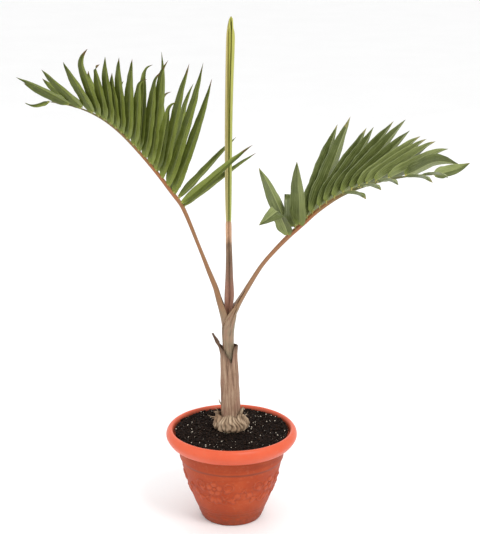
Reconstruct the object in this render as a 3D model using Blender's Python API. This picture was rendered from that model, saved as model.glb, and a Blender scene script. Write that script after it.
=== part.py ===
"""A young feather palm in a terracotta-coloured plastic pot.

Metres, +Z up. The origin is the centre of the pot's flat base, and the pot's axis is Z. The palm has
three leaves. Two are open, one to the left (-X) and one to the right (+X), and the youngest is still
folded into an upright spear. Each open leaf is a stalk, which wraps the stem as a sheath at its foot,
and two rows of leaflets: the near row leans towards -Y and the far row towards +Y.
"""

import math
from collections import namedtuple

import bmesh
import bpy
from mathutils import Quaternion, Vector

# ---------------------------------------------------------------- driving dimensions

GAP = 0.0003  # clearance between pieces that touch

# Pot
POT_HEIGHT = 0.180
POT_BASE_RADIUS = 0.0565
POT_RIM_RADIUS = 0.125
POT_COLLAR_RADIUS = 0.0995
POT_COLLAR_Z = (0.121, 0.147)
POT_BODY_BULGE = (0.0870, 0.069)  # middle handle of the body's curved side
POT_BODY_TOP_RADIUS = 0.0965
POT_WALL = 0.0034
POT_FLOOR = 0.004
POT_SEGMENTS = 44
FOOT_BAND_Z = 0.017
DRAIN_RADIUS = 0.006
DRAIN_CIRCLE = 0.036
DRAIN_COUNT = 5

# Soil
SOIL_EDGE_RADIUS = 0.1094
SOIL_EDGE_Z = 0.1738
SOIL_MOUND_Z = 0.1757

# Stem and the leaf bases around it
STEM_X = -0.0010
STEM_TOP_X = -0.0048
STEM_Y = 0.004
STEM_FOOT_Z = 0.150
STEM_TOP_Z = 0.298
BULB_RADIUS = 0.0285
HUSK_FOOT_Z = 0.1785
OLD_SHEATH_FOOT_Z = 0.2030
OLD_SHEATH_WALL = 0.0015
# (degrees round the stem from +X, height of the torn edge)
OLD_SHEATH_TOP = (
    (0, 0.3440), (140, 0.3400), (163, 0.3450), (184, 0.3700), (204, 0.3430), (225, 0.3390),
    (262, 0.3260), (287, 0.3130), (301, 0.3360), (314, 0.3450), (360, 0.3440),
)

# Leaflets
LEAFLET_WIDTH = 0.0195
LEAFLET_THICKNESS = 0.0009
LEAFLET_FOLD = math.radians(15)  # how far each half slopes down from the midrib
LEAFLET_BASE_SHARE = 0.24  # width at the foot, as a share of the full width
LOUVER = math.radians(40)  # turn of each blade about its own length, as in a blind
ATTACH_ANGLE = math.radians(32)  # height round the stalk where a leaflet stands, above level
LEAFLET_STANDOFF = 0.0024
FLAT_SPREAD = 45  # a leaflet spread further than this lies flat instead of standing on edge
FOLD_SHARE = 0.16  # share of a leaflet's length that a fold takes

RIGHT = Vector((1, 0, 0))
UP = Vector((0, 0, 1))
TOWARDS_VIEWER = Vector((0, -1, 0))


# ---------------------------------------------------------------- materials

def material(name, colour, roughness):
    made = bpy.data.materials.new(name)
    made.use_nodes = True
    shader = made.node_tree.nodes["Principled BSDF"]
    shader.inputs["Base Color"].default_value = (*colour, 1)
    shader.inputs["Roughness"].default_value = roughness
    shader.inputs["Metallic"].default_value = 0.0
    return made


# ---------------------------------------------------------------- shared geometry

def clear_scene():
    for obj in list(bpy.data.objects):
        bpy.data.objects.remove(obj)


def mix(a, b, share):
    return a + (b - a) * share


def smoothstep(value):
    value = min(1.0, max(0.0, value))
    return value * value * (3 - 2 * value)


def table(x, points):
    """Smooth value at x through (x, value) pairs, level at each pair."""
    if x <= points[0][0]:
        return points[0][1]
    for (x0, v0), (x1, v1) in zip(points, points[1:]):
        if x <= x1:
            return mix(v0, v1, smoothstep((x - x0) / (x1 - x0)))
    return points[-1][1]


def new_object(name, bm, surface, smooth_angle=40):
    """Turns a bmesh into a named object with outward faces."""
    bmesh.ops.recalc_face_normals(bm, faces=bm.faces)
    mesh = bpy.data.meshes.new(name)
    bm.to_mesh(mesh)
    bm.free()
    mesh.shade_smooth()
    mesh.set_sharp_from_angle(angle=math.radians(smooth_angle))
    mesh.materials.append(surface)
    obj = bpy.data.objects.new(name, mesh)
    bpy.context.scene.collection.objects.link(obj)
    return obj


def loft(name, rings, surface, foot=None, tip=None):
    """Skins rings of equal length. A foot or tip point closes an end as a fan, else it is one flat face."""
    bm = bmesh.new()
    rows = [[bm.verts.new(p) for p in ring] for ring in rings]
    count = len(rows[0])
    for lower, upper in zip(rows, rows[1:]):
        for i in range(count):
            j = (i + 1) % count
            bm.faces.new((lower[i], lower[j], upper[j], upper[i]))
    for row, point in ((rows[0], foot), (rows[-1], tip)):
        if point is None:
            bm.faces.new(row)
            continue
        centre = bm.verts.new(point)
        for i in range(count):
            bm.faces.new((row[i], row[(i + 1) % count], centre))
    return new_object(name, bm, surface)


def turned(name, profile, segments, surface, reshape=None):
    """Spins a closed (radius, z) outline about Z. Points at radius 0 become one vertex."""
    bm = bmesh.new()
    rows = []
    for radius, z in profile:
        if radius < 1e-6:
            rows.append([bm.verts.new((0, 0, z))])
            continue
        row = []
        for i in range(segments):
            angle = 2 * math.pi * i / segments
            point = Vector((radius * math.cos(angle), radius * math.sin(angle), z))
            row.append(bm.verts.new(reshape(point) if reshape else point))
        rows.append(row)
    for lower, upper in zip(rows, rows[1:] + rows[:1]):
        for i in range(segments):
            j = (i + 1) % segments
            if len(lower) == 1 and len(upper) == 1:
                break
            if len(lower) == 1:
                bm.faces.new((lower[0], upper[j], upper[i]))
            elif len(upper) == 1:
                bm.faces.new((lower[i], lower[j], upper[0]))
            else:
                bm.faces.new((lower[i], lower[j], upper[j], upper[i]))
    return new_object(name, bm, surface)


# ---------------------------------------------------------------- pot and soil

def body_side(share):
    """(radius, z) on the pot's curved side, from the base at 0 to the collar's foot at 1."""
    ends = ((POT_BASE_RADIUS, 0.0), (POT_BODY_TOP_RADIUS, POT_COLLAR_Z[0] - 0.003))
    back, forth = (1 - share) ** 2, share**2
    swing = 2 * share * (1 - share)
    return tuple(
        back * ends[0][i] + swing * POT_BODY_BULGE[i] + forth * ends[1][i] for i in (0, 1)
    )


def body_radius(z):
    """The pot's outer radius at a height between the base and the collar's foot."""
    low, high = 0.0, 1.0
    for _ in range(30):
        middle = (low + high) / 2
        if body_side(middle)[1] < z:
            low = middle
        else:
            high = middle
    return body_side(low)[0]


def pot_outline():
    """The pot's wall, from the middle of its underside, up the outside and down the inside."""
    low, high = POT_COLLAR_Z
    band = FOOT_BAND_Z
    outside = [(0.0, 0.0), (POT_BASE_RADIUS - 0.0015, 0.0)]
    outside += [(body_radius(0.0015), 0.0015), (body_radius(band - 0.001) + 0.0004, band - 0.001)]
    outside += [(body_radius(band) - 0.0006, band)]
    outside += [body_side(share) for share in (0.26, 0.38, 0.5, 0.62, 0.74, 0.87, 1.0)]
    outside += [(POT_COLLAR_RADIUS - 0.0015, low), (POT_COLLAR_RADIUS, low + 0.002)]
    channel = POT_COLLAR_RADIUS + 0.001
    outside += [(channel, high + 0.002), (channel + 0.0040, 0.1660), (channel + 0.0085, 0.1695)]
    rim = [(-0.0120, -0.0225), (-0.0143, -0.0292), (-0.0128, -0.0312), (-0.0100, -0.0300),
           (-0.0045, -0.0235), (-0.0008, -0.0170), (0.0, -0.0120), (-0.0012, -0.0075),
           (-0.0040, -0.0030), (-0.0080, 0.0), (-0.0115, -0.0012), (-0.0136, -0.0050)]
    outside += [(POT_RIM_RADIUS + r, POT_HEIGHT + z) for r, z in rim]
    inner_top = POT_COLLAR_RADIUS - POT_WALL
    inside = [(SOIL_EDGE_RADIUS + 0.0006, 0.168), (inner_top + 0.0040, high + 0.010)]
    inside += [(inner_top, high - 0.006), (inner_top - 0.0020, low)]
    for share in (0.92, 0.7, 0.5, 0.3):
        radius, z = body_side(share)
        inside.append((radius - POT_WALL, z))
    inside += [(POT_BASE_RADIUS - 0.0015, POT_FLOOR + 0.002), (POT_BASE_RADIUS - 0.004, POT_FLOOR)]
    return outside, inside + [(0.0, POT_FLOOR)]


def make_pot(surface):
    outside, inside = pot_outline()
    pot = turned("pot", outside + inside, POT_SEGMENTS, surface)
    for i in range(DRAIN_COUNT):
        angle = 2 * math.pi * (i + 0.5) / DRAIN_COUNT
        place = (DRAIN_CIRCLE * math.cos(angle), DRAIN_CIRCLE * math.sin(angle), POT_FLOOR / 2)
        bpy.ops.mesh.primitive_cylinder_add(
            vertices=16, radius=DRAIN_RADIUS, depth=POT_FLOOR * 4, location=place
        )
        cutter = bpy.context.object
        cutter.name = f"drain_cutter_{i + 1}"
        cutter.hide_render = True
        cutter.display_type = "WIRE"
        hole = pot.modifiers.new(f"drain_{i + 1}", "BOOLEAN")
        hole.solver = "MANIFOLD"
        hole.operation = "DIFFERENCE"
        hole.object = cutter
    return pot


def bulb_radius(z):
    """The stem's outer radius, from its foot in the soil to where the sheaths begin."""
    return table(z, (
        (0.150, 0.0200), (0.1715, 0.0250), (0.184, BULB_RADIUS), (0.193, 0.0250),
        (0.202, 0.0164), (0.212, 0.0145), (STEM_TOP_Z, 0.0120),
    ))


def soil_height(x, y):
    """The soil's top: a low mound, with lumps."""
    reach = math.hypot(x, y) / SOIL_EDGE_RADIUS
    lumps = 0.0007 * (math.sin(61 * x + 17 * y) + math.sin(47 * y - 23 * x + 1.3))
    return mix(SOIL_MOUND_Z, SOIL_EDGE_Z, reach**2) + lumps * (1 - reach**6)


def make_soil(surface):
    """Fills the pot, with a socket in its middle for the foot of the stem."""
    _, inside = pot_outline()
    skin = GAP * 3
    wall = [(r - skin, z + (skin if z < POT_FLOOR + 0.001 else 0)) for r, z in reversed(inside[1:-1])]
    outline = [(0.0, POT_FLOOR + skin), *wall, (SOIL_EDGE_RADIUS - skin, SOIL_EDGE_Z - 0.004)]
    outline += [(SOIL_EDGE_RADIUS * share, SOIL_EDGE_Z) for share in (0.985, 0.86, 0.72, 0.58, 0.44)]
    socket = bulb_radius(STEM_FOOT_Z) + 0.005
    foot = STEM_FOOT_Z - 0.001
    outline += [(bulb_radius(SOIL_MOUND_Z) + 0.0015, SOIL_MOUND_Z), (socket, foot), (0.0, foot)]
    rising = SOIL_EDGE_Z - 0.001

    def reshape(point):
        reach = math.hypot(point.x, point.y)
        near = smoothstep((0.6 * SOIL_EDGE_RADIUS - reach) / (0.3 * SOIL_EDGE_RADIUS))
        inner = point.z > foot - 1e-6 and reach < 0.5 * SOIL_EDGE_RADIUS
        x, y = point.x, point.y
        if inner:
            x, y = x + STEM_X * near, y + STEM_Y * near
        return Vector((x, y, soil_height(x, y) if point.z > rising else point.z))

    soil = turned("potting_soil", outline, 36, surface, reshape)
    return soil


# ---------------------------------------------------------------- stem and dead leaf bases

def stem_axis_x(z):
    """The stem leans a little to the left as it rises."""
    return table(z, ((0.170, STEM_X), (0.345, STEM_TOP_X)))


def around_stem(radius, angle, z):
    return Vector((stem_axis_x(z) + radius * math.cos(angle), STEM_Y + radius * math.sin(angle), z))


def make_stem(surface):
    """The swollen foot of the stem and the narrow stem inside the sheaths."""
    sides = 20
    heights = [0.150, 0.1715, 0.180, 0.188, 0.196, 0.204, 0.212, 0.224, 0.25, 0.275, STEM_TOP_Z]
    rings = []
    for z in heights:
        turns = [2 * math.pi * i / sides for i in range(sides)]
        rings.append([around_stem(bulb_radius(z), angle, z) for angle in turns])
    foot = around_stem(0, 0, STEM_FOOT_Z)
    tip = around_stem(0, 0, STEM_TOP_Z)
    return loft("stem", rings, surface, foot=foot, tip=tip)


def torn_tube(name, surface, sides, levels, foot_z, top_at, radius_at, wall):
    """A tube round the stem with a torn top: top_at gives its height and radius_at its inner radius."""
    bm = bmesh.new()
    skins = []
    for extra in (wall, 0.0):
        rows = []
        for level in range(levels + 1):
            row = []
            for i in range(sides):
                angle = 2 * math.pi * i / sides
                z = mix(foot_z, top_at(angle), level / levels)
                row.append(bm.verts.new(around_stem(radius_at(angle, z) + extra, angle, z)))
            rows.append(row)
        skins.append(rows)
    outer, inner = skins
    for i in range(sides):
        j = (i + 1) % sides
        for level in range(levels):
            above = level + 1
            bm.faces.new((outer[level][i], outer[level][j], outer[above][j], outer[above][i]))
            bm.faces.new((inner[level][j], inner[level][i], inner[above][i], inner[above][j]))
        bm.faces.new((outer[-1][i], outer[-1][j], inner[-1][j], inner[-1][i]))
        bm.faces.new((inner[0][i], inner[0][j], outer[0][j], outer[0][i]))
    return new_object(name, bm, surface)


def peak(angle, centre, half_width):
    """1 at the centre angle (in degrees), falling to 0 at half_width to either side."""
    away = abs((math.degrees(angle) - centre + 180) % 360 - 180)
    return max(0.0, 1 - away / half_width)


def make_old_sheath(surface):
    """The dead outermost leaf base: split at the front, with the dry stub of its stalk at the left."""

    def top_at(angle):
        return table(math.degrees(angle) % 360, OLD_SHEATH_TOP)

    def radius_at(angle, z):
        body = table(z, ((OLD_SHEATH_FOOT_Z, 0.0172), (0.25, 0.0161), (0.335, 0.0146)))
        stub = max(0.0, (z - 0.328) / 0.038)
        loose = max(0.0, (z - 0.325) / 0.020)
        return body + 0.0150 * stub**1.2 * peak(angle, 184, 60) + 0.0010 * loose * peak(angle, 330, 60)

    return torn_tube(
        "old_sheath", surface, 36, 9, OLD_SHEATH_FOOT_Z, top_at, radius_at, OLD_SHEATH_WALL
    )


def make_base_husk(surface):
    """Pleated fibres of the oldest leaf bases round the swollen foot, with three dry spikes."""

    def top_at(angle):
        spikes = 0.009 * peak(angle, 200, 20) + 0.025 * peak(angle, 322, 18) + 0.010 * peak(angle, 75, 22)
        return 0.2080 + 0.0030 * math.cos(4 * angle + 0.6) + spikes

    def radius_at(angle, z):
        body = table(z, (
            (HUSK_FOOT_Z, 0.0292), (0.1835, 0.0320), (0.193, 0.0295), (0.203, 0.0228), (0.212, 0.0192),
        ))
        pleat = 0.05 * math.cos(11 * angle) * table(z, ((HUSK_FOOT_Z, 1.0), (0.200, 0.8), (0.209, 0)))
        bent_out = 0.016 * peak(angle, 200, 26) * smoothstep((z - 0.192) / 0.024)
        leaning = 0.0105 * peak(angle, 322, 24) * smoothstep((z - 0.200) / 0.020)
        return body * (1 + pleat) + bent_out + leaning

    return torn_tube("base_husk", surface, 44, 6, HUSK_FOOT_Z, top_at, radius_at, 0.0013)


# ---------------------------------------------------------------- leaf stalks

# One station of a stalk: its place, outer radius, hollow as a share of it, and the half angle in
# degrees that the wall covers round the stalk's back. 170 is a tube with a slit, 110 a channelled rod.
Station = namedtuple("Station", "x y z radius hollow cover")
SECTION_POINTS = 13  # on each of a section's two arcs

LEFT_STALK = [
    Station(-0.0062, 0.0040, 0.300, 0.0088, 0.85, 165),
    Station(-0.0062, 0.0040, 0.345, 0.0088, 0.85, 158),
    Station(-0.0076, 0.0040, 0.375, 0.0094, 0.85, 130),
    Station(-0.0112, 0.0038, 0.402, 0.0100, 0.83, 116),
    Station(-0.0182, 0.0030, 0.430, 0.0098, 0.68, 98),
    Station(-0.0265, 0.0020, 0.457, 0.0080, 0.45, 100),
    Station(-0.0390, 0.0000, 0.487, 0.0061, 0.36, 108),
    Station(-0.0570, -0.0020, 0.534, 0.0046, 0.30, 112),
    Station(-0.0860, -0.0050, 0.609, 0.0050, 0.30, 114),
    Station(-0.1070, -0.0070, 0.640, 0.0048, 0.30, 114),
    Station(-0.1320, -0.0090, 0.675, 0.0043, 0.30, 114),
    Station(-0.1680, -0.0110, 0.719, 0.0035, 0.30, 114),
    Station(-0.1990, -0.0130, 0.752, 0.0029, 0.30, 114),
    Station(-0.2290, -0.0150, 0.776, 0.0023, 0.30, 114),
    Station(-0.2590, -0.0170, 0.792, 0.0018, 0.30, 114),
    Station(-0.2900, -0.0180, 0.802, 0.0014, 0.30, 114),
    Station(-0.3180, -0.0190, 0.807, 0.0010, 0.30, 114),
]
RIGHT_STALK = [
    Station(-0.0062, 0.0040, 0.300, 0.0108, 0.87, 168),
    Station(-0.0062, 0.0040, 0.345, 0.0108, 0.87, 164),
    Station(-0.0068, 0.0040, 0.370, 0.0120, 0.88, 152),
    Station(-0.0058, 0.0038, 0.392, 0.0139, 0.88, 124),
    Station(0.0000, 0.0034, 0.412, 0.0126, 0.82, 101),
    Station(0.0125, 0.0000, 0.434, 0.0094, 0.55, 92),
    Station(0.0290, -0.0030, 0.460, 0.0066, 0.36, 104),
    Station(0.0530, -0.0100, 0.500, 0.0049, 0.30, 112),
    Station(0.0755, -0.0170, 0.530, 0.0047, 0.30, 114),
    Station(0.1030, -0.0250, 0.562, 0.0052, 0.30, 114),
    Station(0.1290, -0.0330, 0.588, 0.0049, 0.30, 114),
    Station(0.1530, -0.0400, 0.612, 0.0045, 0.30, 114),
    Station(0.1840, -0.0490, 0.637, 0.0038, 0.30, 114),
    Station(0.2120, -0.0570, 0.654, 0.0033, 0.30, 114),
    Station(0.2420, -0.0650, 0.667, 0.0028, 0.30, 114),
    Station(0.2740, -0.0740, 0.678, 0.0022, 0.30, 114),
    Station(0.3160, -0.0860, 0.688, 0.0016, 0.30, 114),
    Station(0.3500, -0.0950, 0.692, 0.0011, 0.30, 114),
]
SPEAR_STALK = [
    Station(-0.0062, 0.0040, 0.302, 0.0062, 0.20, 110),
    Station(-0.0068, 0.0040, 0.365, 0.0062, 0.20, 110),
    Station(-0.0062, 0.0040, 0.402, 0.0068, 0.20, 110),
    Station(-0.0042, 0.0040, 0.434, 0.0089, 0.22, 112),
    Station(-0.0040, 0.0040, 0.475, 0.0073, 0.25, 114),
    Station(-0.0040, 0.0040, 0.510, 0.0062, 0.28, 118),
    Station(-0.0046, 0.0040, 0.540, 0.0056, 0.30, 120),
    Station(-0.0050, 0.0040, 0.581, 0.0050, 0.30, 120),
]
# The folded blade: two halves laid face to face, open along a narrow groove at the front.
SPEAR_BLADE = [
    Station(-0.0050, 0.0040, 0.583, 0.0048, 0.34, 150),
    Station(-0.0052, 0.0040, 0.620, 0.0058, 0.34, 152),
    Station(-0.0052, 0.0040, 0.680, 0.0064, 0.34, 154),
    Station(-0.0044, 0.0040, 0.760, 0.0067, 0.34, 156),
    Station(-0.0030, 0.0040, 0.840, 0.0072, 0.34, 158),
    Station(-0.0014, 0.0040, 0.900, 0.0078, 0.36, 156),
    Station(-0.0006, 0.0040, 0.932, 0.0068, 0.36, 154),
    Station(0.0000, 0.0040, 0.948, 0.0040, 0.36, 152),
]
LEFT_BLADE_FROM = 0.609  # height on the stalk where the first leaflets stand
RIGHT_BLADE_FROM = 0.562


def station_at(stations, share):
    """The stalk's station at a share of its length, all six values read smoothly."""
    places = [Vector((s.x, s.y, s.z)) for s in stations]
    reach = [0.0]
    for a, b in zip(places, places[1:]):
        reach.append(reach[-1] + (b - a).length)
    wanted = share * reach[-1]
    k = 0
    while k < len(stations) - 2 and reach[k + 1] < wanted:
        k += 1
    t = (wanted - reach[k]) / (reach[k + 1] - reach[k])
    rows = [stations[max(0, min(len(stations) - 1, k + d))] for d in (-1, 0, 1, 2)]
    values = []
    for a, b, c, d in zip(*rows):
        tangent_b, tangent_c = (c - a) / 2, (d - b) / 2
        values.append(
            b * (2 * t**3 - 3 * t**2 + 1) + tangent_b * (t**3 - 2 * t**2 + t)
            + c * (3 * t**2 - 2 * t**3) + tangent_c * (t**3 - t**2)
        )
    return Station(*values)


def section(centre, along, back, radius, hollow, cover):
    """A crescent: an outer arc round the stalk's back and a smaller inner arc, as one closed ring."""
    back = (back - along * back.dot(along)).normalized()
    side = along.cross(back)
    reach = math.radians(cover)
    turns = [mix(-reach, reach, i / (SECTION_POINTS - 1)) for i in range(SECTION_POINTS)]
    ring = [centre + (back * math.cos(a) + side * math.sin(a)) * radius for a in turns]
    ring += [
        centre + (back * math.cos(a) + side * math.sin(a)) * radius * hollow for a in reversed(turns)
    ]
    return ring


def make_stalk(name, stations, back, count, surface, tip_reach):
    """Lofts a stalk's sections. back is the side that its unbroken wall faces."""
    rings = []
    shares = [i / (count - 1) for i in range(count)]
    for share in shares:
        here = station_at(stations, share)
        before, after = (station_at(stations, min(1, max(0, share + d))) for d in (-0.01, 0.01))
        along = (Vector(after[:3]) - Vector(before[:3])).normalized()
        rings.append(section(Vector(here[:3]), along, back, here.radius, here.hollow, here.cover))
    tip = Vector(stations[-1][:3]) + along * tip_reach
    return loft(name, rings, surface, tip=tip)


# ---------------------------------------------------------------- leaflets

# along: 0 at the first leaflet to 1 at the stalk's tip. lean: degrees from upright towards +X.
# spread: degrees out of the leaf's upright plane, to the row's own side. length in millimetres,
# to the nearest 5.
# curl bends the outer part towards +X and droop bends it down, in degrees, after the share start.
# width is a share of LEAFLET_WIDTH. fold doubles the blade over, outwards, along a crease that is
# tilted by crease degrees from square.
Leaflet = namedtuple(
    "Leaflet",
    "along lean spread length curl droop start width fold crease",
    defaults=(0, 0, 0.5, 1.0, 0, 0),
)

LEFT_NEAR = [
    Leaflet(0.02, 47, 14, 180, -3, 6, 0.5, 0.65),
    Leaflet(0.10, 19, 16, 240, -4, 0, 0.5, 0.95),
    Leaflet(0.16, 17, 17, 255, -4, 0, 0.5, 0.95),
    Leaflet(0.22, 13, 18, 235, 4, 0, 0.5, 0.95),
    Leaflet(0.27, 12, 19, 150, 60, 0, 0.78),
    Leaflet(0.32, 8, 20, 215, 26, 0, 0.72),
    Leaflet(0.37, 9, 21, 180, 30, 0, 0.74),
    Leaflet(0.42, 6, 22, 185, 66, 0, 0.8),
    Leaflet(0.46, 7, 25, 150, 70, 0, 0.78),
    Leaflet(0.51, 5, 25, 170, 4),
    Leaflet(0.56, 0, 25, 160, 6),
    Leaflet(0.60, -2, 26, 120, 6, 0, 0.5, 0.95),
    Leaflet(0.64, -2, 27, 145, 6),
    Leaflet(0.68, -6, 28, 125, 66, 0, 0.8, 0.95),
    Leaflet(0.72, -14, 29, 155, 46, 0, 0.6, 0.95),
    Leaflet(0.76, -24, 30, 125, 4, 0, 0.5, 0.95),
    Leaflet(0.83, -39, 31, 115, 4, 0, 0.5, 0.9),
    Leaflet(0.90, -54, 33, 120, -4, 0, 0.5, 0.8),
    Leaflet(1.00, -109, 6, 45, -46, 0, 0.3, 0.4),
]
LEFT_FAR = [
    Leaflet(0.00, 54, 12, 165, 2, 4, 0.5, 0.65),
    Leaflet(0.05, 45, 20, 155, 4, 0, 0.5, 0.75),
    Leaflet(0.10, 4, 36, 120, 0, 0, 0.5, 1.25, 160, 14),
    Leaflet(0.16, 12, 24, 195, 14, 0, 0.6, 0.8),
    Leaflet(0.26, 3, 30, 160, 70, 0, 0.76),
    Leaflet(0.30, 7, 20, 210, -12, 0, 0.5, 0.7),
    Leaflet(0.51, -12, 28, 110, 40, 0, 0.7),
    Leaflet(0.68, -27, 30, 100, 20, 0, 0.6, 0.9),
    Leaflet(0.83, -63, 32, 105, 10, 0, 0.5, 0.8),
    Leaflet(0.91, -74, 33, 110, 6, 0, 0.5, 0.7),
]
RIGHT_NEAR = [
    Leaflet(0.00, -23, 20, 100, 0, 0, 0.46, 1.0, 150, -30),
    Leaflet(0.10, -4, 16, 130, 2, 0, 0.5, 1.05),
    Leaflet(0.46, 53, 70, 105, 0, 20, 0.4, 0.85),
    Leaflet(0.56, 40, 70, 120, 0, 20, 0.4, 0.85),
    Leaflet(0.67, 41, 70, 115, 0, 20, 0.4, 0.85),
    Leaflet(0.86, 62, 68, 95, 0, 20, 0.4, 0.8),
    Leaflet(0.94, 55, 66, 95, 0, 20, 0.4, 0.75),
    Leaflet(1.00, 73, 4, 65, -14, 0, 0.5, 0.7),
]
RIGHT_FAR = [
    Leaflet(0.01, -25, 14, 130, -4),
    Leaflet(0.06, -5, 26, 90, 0, 0, 0.56, 1.25, 160, -8),
    Leaflet(0.16, 20, 26, 185, 3, 0, 0.5, 1.25),
    Leaflet(0.21, 24, 26, 195, 2, 0, 0.5, 1.25),
    Leaflet(0.27, 35, 26, 175, -2, 0, 0.5, 1.2),
    Leaflet(0.32, 37, 26, 170, -3, 0, 0.5, 1.2),
    Leaflet(0.38, 42, 26, 185, 2, 0, 0.5, 1.2),
    Leaflet(0.44, 45, 26, 185, 2, 0, 0.5, 1.2),
    Leaflet(0.50, 50, 26, 160, 4, 0, 0.7, 1.15),
    Leaflet(0.55, 56, 26, 155, 10, 0, 0.75, 1.15),
    Leaflet(0.60, 58, 25, 145, 12, 0, 0.75, 1.1),
    Leaflet(0.66, 61, 25, 140, 14, 0, 0.72, 1.05),
    Leaflet(0.74, 67, 24, 130, 18, 0, 0.6),
    Leaflet(0.84, 65, 16, 105, 48, 0, 0.3, 1.2),
]


def blade_width(share):
    """Width along a leaflet, as a share of its fullest: a narrow foot, a long even run and a long point."""
    foot = mix(LEAFLET_BASE_SHARE, 1.0, smoothstep(share / 0.22))
    point = 1 - max(0.0, (share - 0.42) / 0.58) ** 1.7
    return foot * point


def rachis_station(stations, blade_from, along):
    """The stalk's station where a leaflet stands."""
    low, high = 0.0, 1.0
    for _ in range(40):
        middle = (low + high) / 2
        if station_at(stations, middle).z < blade_from:
            low = middle
        else:
            high = middle
    return station_at(stations, mix(low, 1.0, along)), mix(low, 1.0, along)


def leaflet_foot(stations, blade_from, along, side):
    """Where a leaflet starts: just off the stalk's upper face on the row's side, or off its very tip."""
    station, share = rachis_station(stations, blade_from, along)
    here = Vector(station[:3])
    if along < 0.99:
        outwards = side * math.cos(ATTACH_ANGLE) + UP * math.sin(ATTACH_ANGLE)
        return here + outwards * (station.radius + LEAFLET_STANDOFF)
    ahead = here - Vector(station_at(stations, share - 0.02)[:3])
    return here + ahead.normalized() * 0.0055 + side * 0.0015


def bent(direction, target, angle):
    """direction, turned towards target by an angle in radians."""
    across = target - direction * target.dot(direction)
    if across.length < 1e-6 or abs(angle) < 1e-9:
        return direction.copy()
    return direction * math.cos(angle) + across.normalized() * math.sin(angle)


def leaflet_frame(leaflet, side):
    """A leaflet's direction at its foot, and the direction across it."""
    lean, spread = math.radians(leaflet.lean), math.radians(leaflet.spread)
    in_plane = RIGHT * math.sin(lean) + UP * math.cos(lean)
    first = in_plane * math.cos(spread) + side * math.sin(spread)
    if leaflet.spread > FLAT_SPREAD:
        return first, first.cross(UP).normalized()
    across = RIGHT * math.cos(lean) - UP * math.sin(lean)
    across = across * math.cos(LOUVER) + side * math.sin(LOUVER)
    return first, first.cross(across.cross(first)).normalized()


def leaflet_rings(leaflet, foot, side):
    """Cross-sections of one leaflet and its tip point: a shallow roof, thin at both edges."""
    first, square = leaflet_frame(leaflet, side)
    tilt = math.radians(leaflet.crease)
    crease = square * math.cos(tilt) + first * math.sin(tilt)
    outwards = 1 if crease.cross(first).dot(side) > 0 else -1
    ridge_side = UP if leaflet.spread > FLAT_SPREAD else -side
    facing = 1 if square.cross(first).dot(ridge_side) > 0 else -1
    bends = abs(leaflet.curl) + abs(leaflet.droop) + leaflet.fold > 30
    count = 14 if bends else 9
    full = LEAFLET_WIDTH * leaflet.width
    place = foot.copy()
    rings = []
    for i in range(count):
        share = i / count
        bent_by = smoothstep((share - leaflet.start) / (0.8 * (1.02 - leaflet.start)))
        direction = bent(first, -UP, math.radians(leaflet.droop) * bent_by)
        direction = bent(direction, RIGHT, math.radians(leaflet.curl) * bent_by)
        across = direction.cross(square.cross(direction)).normalized()
        folded_by = smoothstep((share - leaflet.start) / FOLD_SHARE) * outwards
        doubling = Quaternion(crease, math.radians(leaflet.fold) * folded_by)
        inner = across.cross(direction) * facing
        direction, across, inner = (doubling @ v for v in (direction, across, inner))
        half = full * blade_width(share) / 2
        rise = half * math.tan(LEAFLET_FOLD)
        thick = LEAFLET_THICKNESS * mix(1.0, 0.55, share)
        ridge = place + inner * (rise + thick / 2)
        valley = place + inner * (rise - thick / 2)
        rings.append([place - across * half, ridge, place + across * half, valley])
        place = place + direction * (leaflet.length / 1000 / count)
    return rings, place


def make_leaflets(prefix, leaflets, stations, blade_from, side, surface):
    """One row of leaflets, each its own object, on the row's side of the stalk."""
    for number, leaflet in enumerate(leaflets, start=1):
        foot = leaflet_foot(stations, blade_from, leaflet.along, side)
        rings, tip = leaflet_rings(leaflet, foot, side)
        loft(f"{prefix}_{number:02d}", rings, surface, tip=tip)


# ---------------------------------------------------------------- the whole palm

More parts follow.
